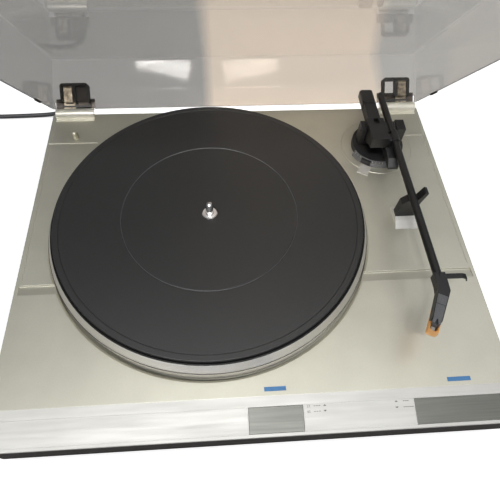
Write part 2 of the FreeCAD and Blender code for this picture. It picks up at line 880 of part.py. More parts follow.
knuckles = []
clips = []
for side in (-1, 1):
    centre = "%d * (plinth_width / 2 - hinge_inset - hinge_width / 2)" % side
    barrel = rod(centre + " - (hinge_width / 2 - 6 - fit_gap)", "0", "0", "knuckle_radius",
                 "hinge_width - 12 - 2 * fit_gap", "x")
    leaf_x = centre + " + %d * 8 - 6.5" % side
    leaf = block(leaf_x, "-0.8", "0", "13", "1.5", "31")
    bore = rod(centre + " - 30", "0", "0", "pin_radius + shaft_clearance", "60", "x")
    knuckles.append(cut(fuse(barrel, leaf), bore))
    face = "-pin_behind - (%s - lid_rim) * tan(lid_slope)"
    clip_left = centre + " - clip_width / 2"
    plate = extruded("side", clip_left, [
        (face % "lid_notch", "lid_notch + fit_gap"),
        ("-1.2", "lid_notch + fit_gap"),
        ("-1.2", "clip_low"),
        ("clip_deep", "clip_low"),
        ("clip_deep", "clip_top"),
        (face % "clip_top", "clip_top"),
    ], "clip_width")
    top_edges = lambda edge: runs_along(edge, 1) and edge.Vertexes[0].Z > value("clip_top") - 0.01
    plate = rounded(plate, "clip_corner", top_edges)
    cell_width = "(clip_width - 3 * clip_border) / 2"
    cells = [
        block(x, "-20", "clip_low + clip_border", cell_width, "40", "clip_top - clip_low - 2.3 * clip_border")
        for x in (clip_left + " + clip_border", centre + " + clip_border / 2")
    ]
    slot = block(leaf_x + " - 0.1", "-0.9", "0", "13.2", "1.7", "31.1")
    clips.append(cut(plate, *cells, slot))
piece(opened(*knuckles), "hinge_arms")
piece(opened(*clips), "hinge_clips")

# Tonearm base, scale ring, cue lift and arm rest on the deck

disc = rod("pivot_x", "pivot_y", "deck_top", "arm_disc", "arm_disc_height")
sleeve = rod("pivot_x", "pivot_y", "deck_top - 14", "arm_shaft + 7", "14")
tower = rod("lift_x", "lift_y", "deck_top - 10", "4.5", "10 + arm_disc_height - 0.5")
pivot_bore = rod("pivot_x", "pivot_y", "deck_top - 15", "arm_shaft + shaft_clearance", "30")
lift_bore = rod("lift_x", "lift_y", "deck_top - 15", "2.5 + shaft_clearance", "30")
piece(cut(fuse(disc, sleeve, tower), pivot_bore, lift_bore), "arm_base")

ring_sector = turned([
    ("arm_disc + fit_gap", "fit_gap"),
    ("scale_radius", "fit_gap"),
    ("scale_radius", "1.7"),
    ("scale_radius - 1.3", "3.2"),
    ("scale_radius - 1.6", "2.9"),
    ("scale_radius - 1.9", "3.8"),
    ("arm_disc + fit_gap + 0.9", "scale_top"),
    ("arm_disc + fit_gap", "scale_top"),
], "scale_span")
ring = bundle(ring_sector)
ring.Placement.Rotation = FreeCAD.Rotation(FreeCAD.Vector(0, 0, 1), value("scale_middle"))
at(ring, "pivot_x", "pivot_y", "deck_top")
piece(ring, "antiskate_ring")

tab = block("arm_disc + 1.8", "-5.5", "1.6", "scale_radius - arm_disc - 1", "11", "5")
tab_turned = bundle(tab)
tab_turned.Placement.Rotation = FreeCAD.Rotation(FreeCAD.Vector(0, 0, 1), -124)
piece(cut(at(tab_turned, "pivot_x", "pivot_y", "deck_top"), ring), "antiskate_tab")

index_turn = -120
index_plate = block("scale_radius + 0.8", "-6.2", "0", "13.5", "11.6", "1")
index_turned = bundle(index_plate)
index_turned.Placement.Rotation = FreeCAD.Rotation(FreeCAD.Vector(0, 0, 1), index_turn)
piece(at(index_turned, "pivot_x", "pivot_y", "deck_top"), "scale_index")

bar_top = "deck_top + lift_top"
bar = extruded("side", "pivot_x - 2", [
    ("lift_y + 3", bar_top + " - 6.5"),
    ("rear - lift_front", bar_top + " - 6.5"),
    ("rear - lift_front", bar_top),
    ("rear - lift_front - lift_length + 7.5", bar_top),
    ("rear - lift_front - lift_length", bar_top + " - 6"),
    ("rear - lift_front - lift_length", bar_top + " - 9"),
    ("lift_y + 3", bar_top + " - 9"),
], "lift_width")
bar_stem = rod("lift_x", "lift_y", "deck_top - 12", "2.5", "lift_top + 5")
piece(fuse(bar, bar_stem), "cue_lift")

rest_x = "middle + rest_left"
foot = extruded("side", rest_x + " - 0.2", [
    ("rear - rest_front - 11.5", "deck_top"),
    ("rear - rest_front - 4.2", "deck_top + 4.8"),
    ("rear - rest_front", "deck_top + 6.2"),
    ("rear - rest_front + rest_depth + 4", "deck_top + 6.2"),
    ("rear - rest_front + rest_depth + 7", "deck_top"),
], "rest_width + 2.9")
piece(foot, "arm_rest_foot")
rest_top = "deck_top + pivot_height + tube_up - tube_radius + rest_front_rise - fit_gap"
place("rest_front_rise", "(rest_front - pivot_rear - rest_depth) * tan(arm_rise) - 0.1")
post = extruded("front", "-(rear - rest_front + rest_depth)", [
    (rest_x, "deck_top + 6.2"),
    (rest_x + " + rest_width", "deck_top + 6.2"),
    (rest_x + " + rest_width", "deck_top + 27"),
    (rest_x + " + rest_width + 3.4", "deck_top + 41"),
    (rest_x + " + rest_width + 0.5", "deck_top + 42"),
    (rest_x + " + 15", rest_top),
    (rest_x + " + 6.5", rest_top),
    (rest_x + " + 1", rest_top + " - 5.5"),
], "rest_depth")
piece(post, "arm_rest_post")

# Swinging part of the tonearm, drawn about the vertical pivot and turned to its rest heading

heading_turn = FreeCAD.Rotation(FreeCAD.Vector(0, 0, 1), -value("arm_yaw"))
rise_turn = FreeCAD.Rotation(FreeCAD.Vector(1, 0, 0), -value("arm_rise"))


def on_swing(*parts):
    obj = bundle(*parts)
    obj.Placement.Rotation = heading_turn
    return at(obj, "pivot_x", "pivot_y", "deck_top")


def on_arm(*parts):
    obj = bundle(*parts)
    obj.Placement.Rotation = heading_turn.multiply(rise_turn)
    return at(obj, "pivot_x", "pivot_y", "deck_top + pivot_height")


column = rod("0", "0", "arm_disc_height + fit_gap", "column_radius", "yoke_top - arm_disc_height - fit_gap")
arm_shaft = rod("0", "0", "-12", "arm_shaft", "20")
bar = block("-yoke_left", "-5", "9", "yoke_left + yoke_right - box_width / 2", "10", "yoke_top - 9")
left_ear = block("-yoke_left", "-5", "9", "ear_thick", "14", "ear_height - 9")
right_ear = block("yoke_right - box_width", "-5.4", "yoke_top - 1", "box_width", "14.8", "ear_height + 2 - yoke_top")
pin_holes = rod("-yoke_left - 1", "0", "pivot_height", "1.5", "yoke_left + yoke_right + 2", "x")
piece(on_swing(cut(fuse(column, arm_shaft, bar, left_ear, right_ear), pin_holes)), "arm_yoke")
left_pin = rod("-yoke_left", "0", "pivot_height", "1.5", "yoke_left - carrier_left + 2", "x")
left_head = rod("-yoke_left - 1.6", "0", "pivot_height", "2.8", "1.6", "x")
right_pin = rod("11.4", "0", "pivot_height", "1.5", "yoke_right - 11.4", "x")
piece(on_swing(fuse(left_pin, left_head), right_pin), "pivot_screws")

# Tilting part of the tonearm, drawn about the tilt axis with the tube along Y

body = extruded("side", "-carrier_left", [
    ("-carrier_front", "carrier_top"),
    ("carrier_back", "carrier_top"),
    ("carrier_back", "-4"),
    ("5", "-10"),
    ("-8", "-10.5"),
    ("-12.6", "-9.5"),
    ("-18", "-5.6"),
    ("-carrier_front", "-3.4"),
], "carrier_width")
edge_side = "carrier_width - carrier_left"
bridge = block(edge_side, "-10", "-4.5", "12.5 - (%s)" % edge_side, "16", "9.5")
collar = rod("tube_across", "-carrier_front", "tube_up", "tube_radius + 1.5", "16", "y")
web = block(edge_side + " - 1", "-carrier_front", "tube_up - 3", "tube_across - 0.5", "16", "6")
under_tube = block(edge_side, "-carrier_front - 1", "-20", "20", "carrier_front - 9", "20.2")
pocket = block("-carrier_left + 6.6", "carrier_back - 8.5", "carrier_top - 4", "5.8", "9.5", "5")
screw_well = rod("tube_across - 4.4", "-14", "tube_up + 0.5", "1.8", "4")
tube_hole = rod("tube_across", "-carrier_front - 1", "tube_up", "tube_radius", "40", "y")
left_socket = rod("-carrier_left - 1", "0", "0", "1.5 + shaft_clearance", "3.5", "x")
right_socket = rod("11", "0", "0", "1.5 + shaft_clearance", "3", "x")
carrier = cut(fuse(body, bridge, collar, web), under_tube, pocket, screw_well, tube_hole,
              left_socket, right_socket)
piece(on_arm(carrier), "arm_carrier")

stem_x = "(-carrier_left + stem_inset)"
shroud = block(stem_x + " - shroud_width / 2", "carrier_back", "-shroud_drop",
               "shroud_width", "shroud_length", "shroud_top + shroud_drop")
stem = rod(stem_x, "carrier_back + shroud_length", "stem_up", "stem_radius", "weight_grip", "y")
piece(on_arm(fuse(shroud, stem)), "weight_stem")
weight_front = "carrier_back + shroud_length - weight_lap"
weight = block(stem_x + " - weight_width / 2", weight_front, "-weight_drop",
               "weight_width", "weight_length", "weight_height")
weight = rounded(weight, "3", lambda edge: runs_along(edge, 1))
weight_bore = rod(stem_x, weight_front, "stem_up", "stem_radius + shaft_clearance",
                  "weight_grip + weight_lap + weight_travel + 0.5", "y")
skirt = block(stem_x + " - shroud_width / 2 - skirt_gap", weight_front + " - 1", "-shroud_drop - skirt_gap",
              "shroud_width + 2 * skirt_gap", "1 + weight_lap + weight_travel + 0.5",
              "shroud_top + shroud_drop + 2 * skirt_gap")
piece(on_arm(cut(weight, weight_bore, skirt)), "counterweight")

tube = rod("tube_across", "-tube_front", "tube_up", "tube_radius", "tube_front + tube_back - tube_radius", "y")
tail = ball("tube_across", "tube_back - tube_radius", "tube_up", "tube_radius")
tube_inside = rod("tube_across", "-tube_front - 1", "tube_up", "tube_bore", "tube_front + tube_back - 8", "y")
piece(on_arm(cut(fuse(tube, tail), tube_inside)), "arm_tube")


def on_head(*parts):
    """Turn pieces drawn along -Y from the bend of the head to its offset angle."""
    obj = bundle(*parts)
    obj.Placement.Rotation = FreeCAD.Rotation(FreeCAD.Vector(0, 0, 1), -value("head_angle"))
    return at(obj, "tube_across + head_offset", "-bend_front", "tube_up")


def head_corner(along, across):
    """A corner in the arm's plan, from a place along and across the turned head."""
    return (
        "tube_across + head_offset - (%s) * sin(head_angle) + (%s) * cos(head_angle)" % (along, across),
        "-bend_front - (%s) * cos(head_angle) - (%s) * sin(head_angle)" % (along, across),
    )


def wedge(bottom, height, start, end, start_half, end_half):
    """A block drawn along -Y whose width changes from its start to its end."""
    return extruded("plan", bottom, [
        ("-(%s)" % start_half, "-(%s)" % start),
        (start_half, "-(%s)" % start),
        (end_half, "-(%s)" % end),
        ("-(%s)" % end_half, "-(%s)" % end),
    ], height)


shell_outline = extruded("plan", "tube_up - head_drop", [
    ("tube_across - neck_left", "-neck_rear"),
    ("tube_across + neck_right", "-neck_rear"),
    ("tube_across + neck_right", "-bend_front + 3"),
    head_corner("2.4", "head_width / 2"),
    head_corner("head_length", "head_front_width / 2"),
    head_corner("head_length", "-head_front_width / 2"),
    head_corner("5", "-head_width / 2"),
    ("tube_across - neck_left", "-bend_front + 4"),
], "head_top + head_drop")
socket = rod("tube_across", "-tube_front", "tube_up", "tube_radius", "20", "y")
nest = wedge("-head_drop - 3", "20", "cartridge_start", "cartridge_end",
             "cartridge_width / 2 + nest_clearance", "cartridge_front_width / 2 + nest_clearance")
piece(on_arm(cut(shell_outline, socket, on_head(nest))), "headshell")

case = wedge("-cartridge_drop", "cartridge_top + cartridge_drop", "cartridge_start", "cartridge_end",
             "cartridge_width / 2", "cartridge_front_width / 2")
split = block("-10", "-cartridge_split - 0.3", "cartridge_top - 0.9", "20", "0.6", "2")
nose_notch = extruded("plan", "cartridge_top - 4", [
    ("0", "-cartridge_end + 4.6"),
    ("-1.8", "-cartridge_end - 1"),
    ("1.8", "-cartridge_end - 1"),
], "6")
piece(on_arm(on_head(cut(case, split, nose_notch))), "cartridge")

holder = wedge("-holder_drop", "holder_drop - cartridge_drop", "holder_start", "guard_end - 3",
               "holder_width / 2", "holder_width / 2")
guard = extruded("side", "-guard_width / 2", [
    ("-head_length - fit_gap", "guard_top"),
    ("-guard_end + 1.2", "guard_top - 1.4"),
    ("-guard_end", "-guard_drop"),
    ("-head_length - fit_gap", "-guard_drop"),
], "guard_width")
inside = block("-guard_width / 2 + guard_arm", "-cartridge_end - fit_gap", "-cartridge_drop",
               "guard_width - 2 * guard_arm", "10", "20")
needle_gap = block("-1.5", "-guard_end + 2.2", "-holder_drop - 1", "3", "guard_end - cartridge_end", "30")
piece(on_arm(on_head(cut(fuse(holder, guard), inside, needle_gap))), "stylus_holder")
needle_bar = rod("0", "-guard_end + 3", "-holder_drop - 0.5", "0.5", "8.5", "y")
tip = cone("0", "-guard_end + 3.4", "-holder_drop - 2.4", "0.15", "0.5", "2")
piece(on_arm(on_head(fuse(needle_bar, tip))), "cantilever")

finger = extruded("front", "neck_rear + 0.4", [
    ("tube_across + neck_right", "tube_up + 0.4"),
    ("tube_across + 20.6", "tube_up + 0.6"),
    ("tube_across + 23.6", "tube_up - 0.9"),
    ("tube_across + 25.2", "tube_up - 4.4"),
    ("tube_across + 26.2", "tube_up - 4"),
    ("tube_across + 24.5", "tube_up + 0.2"),
    ("tube_across + 21", "tube_up + 1.7"),
    ("tube_across + neck_right", "tube_up + 1.6"),
], "4.6")
piece(on_arm(finger), "finger_lift")

# Mains lead: gland, cord, coil and plug

gland_x = "left + gland_left"
gland_z = "deck_top - gland_drop"
gland_in = rod(gland_x, "rear - case_wall", gland_z, "4.2", "case_wall", "y")
gland_flange = rod(gland_x, "rear", gland_z, "6.5", "2", "y")
gland_nose = cone(gland_x, "rear + 2", gland_z, "5.2", "3.6", "gland_length", "y")
gland_ribs = [
    rod(gland_x, "rear + %.1f" % (4.5 + 3.2 * step), gland_z, "%.2f" % (5.6 - 0.25 * step), "1.4", "y")
    for step in range(4)
]
piece(fuse(gland_in, gland_flange, gland_nose, *gland_ribs), "strain_relief")


def cord_tube(points, radius):
    """A round tube along straight runs joined by arcs as large as the runs allow."""
    knots = [FreeCAD.Vector(*p) for p in points]
    edges = []
    start = knots[0]
    for before, here, after in zip(knots, knots[1:], knots[2:]):
        run_in = here - before
        run_out = after - here
        turn = run_in.getAngle(run_out)
        trim = 0.45 * min(run_in.Length, run_out.Length)
        bend = trim / math.tan(turn / 2)
        print("cord radius %.1f" % bend)
        towards = FreeCAD.Vector(run_in).normalize()
        away = FreeCAD.Vector(run_out).normalize()
        first = here - towards * trim
        last = here + away * trim
        inward = (away - towards).normalize()
        depth = bend / math.cos(turn / 2) - bend
        edges.append(Part.makeLine(start, first))
        edges.append(Part.Arc(first, here + inward * depth, last).toShape())
        start = last
    edges.append(Part.makeLine(start, knots[-1]))
    path = Part.Wire(edges)
    profile = Part.Wire(Part.makeCircle(radius, knots[0], knots[1] - knots[0]))
    tube = path.makePipeShell([profile], True, False)
    expected = math.pi * radius ** 2 * path.Length
    if abs(tube.Volume / expected - 1) > 0.01:
        raise ValueError("the cord's volume is not its section times its length")
    print("cord length %.1f" % path.Length)
    return tube


rest_height = value("floor + cord_radius")
rear_y = value("rear")
left_x = value("left")
lead_points = [
    (value(gland_x), rear_y + value("gland_length + 2"), value(gland_z)),
    (left_x + 30, rear_y + 38, value(gland_z)),
    (left_x + 20, rear_y + 54, value(gland_z) - 4),
    (left_x + 0.5, rear_y + 62.5, value(gland_z) - 9),
    (left_x - 26, rear_y + 63, rest_height),
    (left_x - 68, rear_y + 61.5, rest_height),
    (left_x - 108, rear_y + 61, rest_height),
    (left_x - 138, rear_y + 65.5, rest_height),
    (left_x - 164, rear_y + 66.5, rest_height),
]
lead = doc.addObject("Part::Feature", "Lead")
lead.Shape = cord_tube(lead_points, value("cord_radius"))
piece(lead, "mains_lead")

coil_x = left_x - 190
coil_y = rear_y + 27
coil_side = coil_y + 39.5
coil_ring = rod(str(coil_x), str(coil_y), "floor", "coil_outer", "coil_tall")
coil_hole = rod(str(coil_x), str(coil_y), "floor - 1", "coil_inner", "coil_tall + 2")
coil_in = rod(str(coil_x + 5), str(coil_side), "floor + cord_radius", "cord_radius", "21", "x")
coil_out = rod(str(coil_x - 26), str(coil_side), "floor + cord_radius", "cord_radius", "21", "x")
piece(fuse(cut(coil_ring, coil_hole), coil_in, coil_out), "mains_coil")

tail_points = [
    (coil_x - 26, coil_side, rest_height),
    (coil_x - 50, coil_side - 1.2, rest_height),
    (coil_x - 78, coil_side - 10, rest_height),
]
tail_cord = doc.addObject("Part::Feature", "TailCord")
tail_cord.Shape = cord_tube(tail_points, value("cord_radius"))
piece(tail_cord, "mains_tail")

plug_heading = math.degrees(math.atan2(-8.8, -28))
plug_turn = FreeCAD.Rotation(FreeCAD.Vector(0, 0, 1), plug_heading)


def on_plug(*parts):
    obj = bundle(*parts)
    obj.Placement.Rotation = plug_turn
    return at(obj, str(coil_x - 78), str(coil_side - 10), "floor")


plug_body = extruded("plan", "0", [
    ("0", "-4.5"),
    ("8", "-6"),
    ("20", "-17.5"),
    ("36", "-17.5"),
    ("36", "17.5"),
    ("20", "17.5"),
    ("8", "6"),
    ("0", "4.5"),
], "13.7")
piece(on_plug(plug_body), "mains_plug")
plug_pins = fuse(rod("36", "-9.3", "6.85", "2", "19", "x"), rod("36", "9.3", "6.85", "2", "19", "x"))
piece(on_plug(plug_pins), "plug_pins")

# Check every object, then write one file for each sub-part

doc.recompute()
for obj in doc.Objects:
    if "Invalid" in obj.State or "Error" in obj.State:
        raise ValueError("%s (%s) did not build" % (obj.Label, obj.Name))
os.makedirs("parts", exist_ok=True)
for obj in pieces:
    shape = obj.Shape
    if shape.isNull() or not shape.isValid():
        raise ValueError(obj.Label + " has no valid shape")
    shape.exportStep("parts/" + obj.Label + ".step")
    box = shape.BoundBox
    print("%-18s %d solids, volume %.0f, x %.1f..%.1f y %.1f..%.1f z %.1f..%.1f" % (
        obj.Label, len(shape.Solids), shape.Volume,
        box.XMin, box.XMax, box.YMin, box.YMax, box.ZMin, box.ZMax))
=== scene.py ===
"""Turntable: finishes, printed marks, small fittings, the mains lead, light and camera round the model."""
import json
import math

import bmesh
import bpy
from mathutils import Matrix, Vector


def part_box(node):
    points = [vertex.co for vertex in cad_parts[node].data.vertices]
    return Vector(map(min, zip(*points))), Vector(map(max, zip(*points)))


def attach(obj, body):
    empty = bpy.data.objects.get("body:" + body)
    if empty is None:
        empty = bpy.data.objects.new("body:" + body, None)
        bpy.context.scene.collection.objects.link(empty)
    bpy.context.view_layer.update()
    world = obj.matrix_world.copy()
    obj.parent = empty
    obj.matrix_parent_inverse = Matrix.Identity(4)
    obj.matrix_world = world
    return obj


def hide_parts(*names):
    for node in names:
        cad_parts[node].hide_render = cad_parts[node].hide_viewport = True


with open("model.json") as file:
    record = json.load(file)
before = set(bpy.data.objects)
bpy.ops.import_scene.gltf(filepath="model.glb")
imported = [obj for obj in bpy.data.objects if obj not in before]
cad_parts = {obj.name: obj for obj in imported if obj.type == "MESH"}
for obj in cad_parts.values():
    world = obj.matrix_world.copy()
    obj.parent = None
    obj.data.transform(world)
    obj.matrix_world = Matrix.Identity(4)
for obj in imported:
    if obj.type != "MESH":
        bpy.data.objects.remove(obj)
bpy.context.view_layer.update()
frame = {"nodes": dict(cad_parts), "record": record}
nodes = frame["nodes"]
MM = 0.001  # the frame is in metres; lengths below are in millimetres where MM is beside them

# Camera: its azimuth is turned from the deck's depth, its drop is below the horizon

CAMERA_PLACE = Vector((11.5, -268.6, 364.1)) * MM
CAMERA_AZIMUTH = math.radians(6.21)
CAMERA_DROP = math.radians(58.2)
CAMERA_ROLL = math.radians(3.10)
CAMERA_LENS = 33.78

# Room light: it falls from ROOM_LIGHT above the front to ROOM_DARK low down at the back

ROOM_LEAN = 0.6
ROOM_DARK = 0.10
ROOM_LIGHT = 0.36
ROOM_FALL = (-0.4, 0.9)


def add_camera():
    forward = Vector((
        math.sin(CAMERA_AZIMUTH) * math.cos(CAMERA_DROP),
        math.cos(CAMERA_AZIMUTH) * math.cos(CAMERA_DROP),
        -math.sin(CAMERA_DROP),
    ))
    level = forward.cross(Vector((0, 0, 1))).normalized()
    above = level.cross(forward)
    right = level * math.cos(CAMERA_ROLL) + above * math.sin(CAMERA_ROLL)
    up = above * math.cos(CAMERA_ROLL) - level * math.sin(CAMERA_ROLL)
    data = bpy.data.cameras.new("camera")
    data.lens = CAMERA_LENS
    data.sensor_width = 36
    data.clip_start = 0.01
    camera = bpy.data.objects.new("camera", data)
    camera.matrix_world = Matrix((
        (right.x, up.x, -forward.x, CAMERA_PLACE.x),
        (right.y, up.y, -forward.y, CAMERA_PLACE.y),
        (right.z, up.z, -forward.z, CAMERA_PLACE.z),
        (0, 0, 0, 1),
    ))
    bpy.context.scene.collection.objects.link(camera)
    bpy.context.scene.camera = camera


# Material recipes


def tone(red, green, blue):
    """A colour from its 0 to 255 display values."""
    def linear(level):
        share = level / 255
        return share / 12.92 if share <= 0.04045 else ((share + 0.055) / 1.055) ** 2.4
    return (linear(red), linear(green), linear(blue), 1.0)


class Recipe:
    """A material's nodes, built step by step in object space."""

    def __init__(self, name):
        self.material = bpy.data.materials.new(name)
        self.material.use_nodes = True
        self.tree = self.material.node_tree
        self.shader = self.tree.nodes["Principled BSDF"]
        self.place = self.tree.nodes.new("ShaderNodeTexCoord").outputs["Object"]
        self.soft_normal = None

    def link(self, source, target):
        self.tree.links.new(source, target)

    def set(self, name, number):
        self.shader.inputs[name].default_value = number

    def noise(self, scale, detail=3.0, stretch=(1, 1, 1), rough=0.5):
        """Noise whose grain is 1/scale metres, drawn out along an axis by stretch."""
        source = self.place
        if tuple(stretch) != (1, 1, 1):
            mapping = self.tree.nodes.new("ShaderNodeMapping")
            mapping.inputs["Scale"].default_value = stretch
            self.link(self.place, mapping.inputs["Vector"])
            source = mapping.outputs["Vector"]
        node = self.tree.nodes.new("ShaderNodeTexNoise")
        node.inputs["Scale"].default_value = scale
        node.inputs["Detail"].default_value = detail
        node.inputs["Roughness"].default_value = rough
        self.link(source, node.inputs["Vector"])
        return node.outputs["Fac"]

    def fit(self, source, from_low, from_high, low, high):
        node = self.tree.nodes.new("ShaderNodeMapRange")
        node.inputs["From Min"].default_value = from_low
        node.inputs["From Max"].default_value = from_high
        node.inputs["To Min"].default_value = low
        node.inputs["To Max"].default_value = high
        self.link(source, node.inputs["Value"])
        return node.outputs["Result"]

    def mix(self, factor, first, second):
        node = self.tree.nodes.new("ShaderNodeMix")
        node.data_type = "RGBA"
        self.link(factor, node.inputs["Factor"])
        for socket, colour in ((node.inputs[6], first), (node.inputs[7], second)):
            if isinstance(colour, tuple):
                socket.default_value = colour
            else:
                self.link(colour, socket)
        return node.outputs[2]

    def bevel(self, radius):
        """Round the look of sharp edges."""
        node = self.tree.nodes.new("ShaderNodeBevel")
        node.samples = 4
        node.inputs["Radius"].default_value = radius
        self.soft_normal = node.outputs["Normal"]

    def edges(self):
        """1 on the rounded edges and 0 on flat faces."""
        geometry = self.tree.nodes.new("ShaderNodeNewGeometry")
        dot = self.tree.nodes.new("ShaderNodeVectorMath")
        dot.operation = "DOT_PRODUCT"
        self.link(self.soft_normal, dot.inputs[0])
        self.link(geometry.outputs["Normal"], dot.inputs[1])
        return self.fit(dot.outputs["Value"], 0.995, 0.85, 0.0, 1.0)

    def bump(self, source, distance, strength=1.0):
        node = self.tree.nodes.new("ShaderNodeBump")
        node.inputs["Strength"].default_value = strength
        node.inputs["Distance"].default_value = distance
        self.link(source, node.inputs["Height"])
        if self.soft_normal:
            self.link(self.soft_normal, node.inputs["Normal"])
        self.soft_normal = node.outputs["Normal"]
        self.link(node.outputs["Normal"], self.shader.inputs["Normal"])

    def colour(self, source):
        self.link(source, self.shader.inputs["Base Color"])

    def rough(self, source):
        self.link(source, self.shader.inputs["Roughness"])


def dimmed(colour, share):
    return tuple(level * share for level in colour[:3]) + (1.0,)


def finish_of(name, colour, second, rough, metal, grain, depth, stretch=(1, 1, 1), edge_highlight=None):
    """Paint, plastic or metal with fine grain, slow patches of tone, and a painted highlight on rounded
    edges.
    """
    recipe = Recipe(name)
    recipe.bevel(0.00035)
    fine = recipe.noise(grain, 4, stretch)
    slow = recipe.noise(25, 2)
    base = recipe.mix(recipe.fit(fine, 0.3, 0.7, 0, 1), colour, second)
    base = recipe.mix(recipe.fit(slow, 0.35, 0.75, 0, 0.45), base, dimmed(second, 0.86))
    # Painted highlight: the rounded edges take a lighter colour.
    if edge_highlight:
        base = recipe.mix(recipe.edges(), base, edge_highlight)
    recipe.colour(base)
    mottled = recipe.noise(grain * 0.4, 3, stretch)
    recipe.rough(recipe.fit(mottled, 0.3, 0.7, rough[0], rough[1]))
    recipe.set("Metallic", metal)
    recipe.bump(fine, depth)
    return recipe.material


# The cover's tint: grey, with a painted reflection of the room in it: paler towards the right side, and
# warm between two borders, the right one slanting

COVER_GREY = tone(133, 132, 130)
COVER_PALE_REFLECTION = tone(160, 158, 154)
COVER_WARM_REFLECTION = tone(192, 180, 167)
REFLECTION_START = (-0.006, 0.008)
REFLECTION_END = (0.196, 0.212)
REFLECTION_SLANT = 0.34
PALE_REFLECTION_TURN = (-0.05, 0.24)
COVER_SHADOW = (0.66, 0.65, 0.63, 1)


def clear_cover():
    """Smoke-tinted acrylic with wipe marks and a painted reflection of the room in its colour; shadows
    under it stay light.
    """
    recipe = Recipe("clear_cover")
    wipes = recipe.noise(60, 5, (1, 6, 1), 0.6)
    recipe.rough(recipe.fit(wipes, 0.35, 0.8, 0.01, 0.04))
    recipe.bump(recipe.noise(14, 1), 0.00005, 0.2)
    tree = recipe.tree
    split = tree.nodes.new("ShaderNodeSeparateXYZ")
    recipe.link(recipe.place, split.inputs["Vector"])
    slant = tree.nodes.new("ShaderNodeMath")
    slant.operation = "MULTIPLY_ADD"
    slant.inputs[1].default_value = REFLECTION_SLANT
    recipe.link(split.outputs["Z"], slant.inputs[0])
    recipe.link(split.outputs["X"], slant.inputs[2])
    # Painted reflection: a warm band between two borders and a paler right side are mixed into the colour.
    started = recipe.fit(split.outputs["X"], *REFLECTION_START, 0.0, 1.0)
    not_ended = recipe.fit(slant.outputs["Value"], *REFLECTION_END, 1.0, 0.0)
    reflection_band = tree.nodes.new("ShaderNodeMath")
    reflection_band.operation = "MULTIPLY"
    recipe.link(started, reflection_band.inputs[0])
    recipe.link(not_ended, reflection_band.inputs[1])
    sides_with_reflection = recipe.mix(recipe.fit(split.outputs["X"], *PALE_REFLECTION_TURN, 0.15, 1.0), COVER_GREY, COVER_PALE_REFLECTION)
    recipe.colour(recipe.mix(reflection_band.outputs["Value"], sides_with_reflection, COVER_WARM_REFLECTION))
    recipe.set("Transmission Weight", 1.0)
    recipe.set("IOR", 1.49)
    path = tree.nodes.new("ShaderNodeLightPath")
    through = tree.nodes.new("ShaderNodeBsdfTransparent")
    through.inputs["Color"].default_value = COVER_SHADOW
    mixed = tree.nodes.new("ShaderNodeMixShader")
    recipe.link(path.outputs["Is Shadow Ray"], mixed.inputs["Fac"])
    recipe.link(recipe.shader.outputs["BSDF"], mixed.inputs[1])
    recipe.link(through.outputs["BSDF"], mixed.inputs[2])
    recipe.link(mixed.outputs["Shader"], tree.nodes["Material Output"].inputs["Surface"])
    return recipe.material


def turned_metal(name, colour, rough):
    """Metal with fine rings left by turning about the spindle."""
    recipe = Recipe(name)
    recipe.bevel(0.0003)
    wave = recipe.tree.nodes.new("ShaderNodeTexWave")
    wave.wave_type = "RINGS"
    wave.rings_direction = "Z"
    wave.inputs["Scale"].default_value = 700
    wave.inputs["Distortion"].default_value = 0.6
    recipe.link(recipe.place, wave.inputs["Vector"])
    fine = recipe.noise(1600, 3)
    recipe.colour(recipe.mix(recipe.fit(fine, 0.3, 0.7, 0, 0.6), colour, dimmed(colour, 0.8)))
    recipe.rough(recipe.fit(fine, 0.3, 0.7, rough, rough + 0.12))
    recipe.set("Metallic", 1.0)
    recipe.bump(wave.outputs["Fac"], 0.000008)
    return recipe.material


def mat_rubber():
    """Charcoal rubber with a fine pebbled face and a little dust."""
    recipe = Recipe("mat_rubber")
    recipe.bevel(0.0004)
    pebble = recipe.noise(1500, 2, rough=0.6)
    dust = recipe.noise(2600, 2, rough=0.7)
    slow = recipe.noise(9, 3)
    base = recipe.mix(recipe.fit(pebble, 0.35, 0.7, 0, 1), tone(14, 14, 14), tone(26, 26, 27))
    base = recipe.mix(recipe.fit(slow, 0.35, 0.7, 0, 0.4), base, tone(32, 32, 33))
    base = recipe.mix(recipe.fit(dust, 0.66, 0.74, 0, 0.45), base, tone(92, 92, 92))
    recipe.colour(base)
    recipe.rough(recipe.fit(pebble, 0.3, 0.7, 0.40, 0.52))
    recipe.set("Specular IOR Level", 0.6)
    recipe.bump(pebble, 0.00012)
    return recipe.material


# The edge colours below are painted highlights on the rounded edges.
SILVER = finish_of("deck_silver", tone(194, 192, 179), tone(186, 184, 171), (0.41, 0.49), 0.85,
                   2200, 0.000012, edge_highlight=tone(236, 236, 227))
STRIP = finish_of("strip_silver", tone(203, 202, 198), tone(194, 193, 188), (0.55, 0.65), 0.3,
                  420, 0.000006, (0.06, 1, 1), edge_highlight=tone(248, 248, 244))
KEY = finish_of("key_metal", tone(110, 111, 104), tone(96, 97, 91), (0.44, 0.54), 0.35,
                700, 0.00001, (0.03, 1, 1), edge_highlight=tone(214, 214, 208))
CASE = finish_of("case_brown", tone(40, 30, 25), tone(30, 23, 19), (0.6, 0.75), 0.0,
                 500, 0.00002, (0.12, 1, 1), edge_highlight=tone(84, 74, 70))
BOARD = finish_of("case_board", tone(60, 52, 46), tone(50, 43, 38), (0.7, 0.85), 0.0, 700, 0.00005)
STEEL = finish_of("steel", tone(186, 186, 186), tone(160, 160, 161), (0.3, 0.44), 0.6,
                  900, 0.00001, (1, 1, 0.1))
DARK_STEEL = finish_of("dark_steel", tone(72, 72, 76), tone(58, 58, 62), (0.35, 0.5), 0.5, 900, 0.00001)
BARREL = finish_of("barrel_silver", tone(250, 248, 238), tone(240, 238, 226), (0.3, 0.38), 0.45,
                   1600, 0.000008)
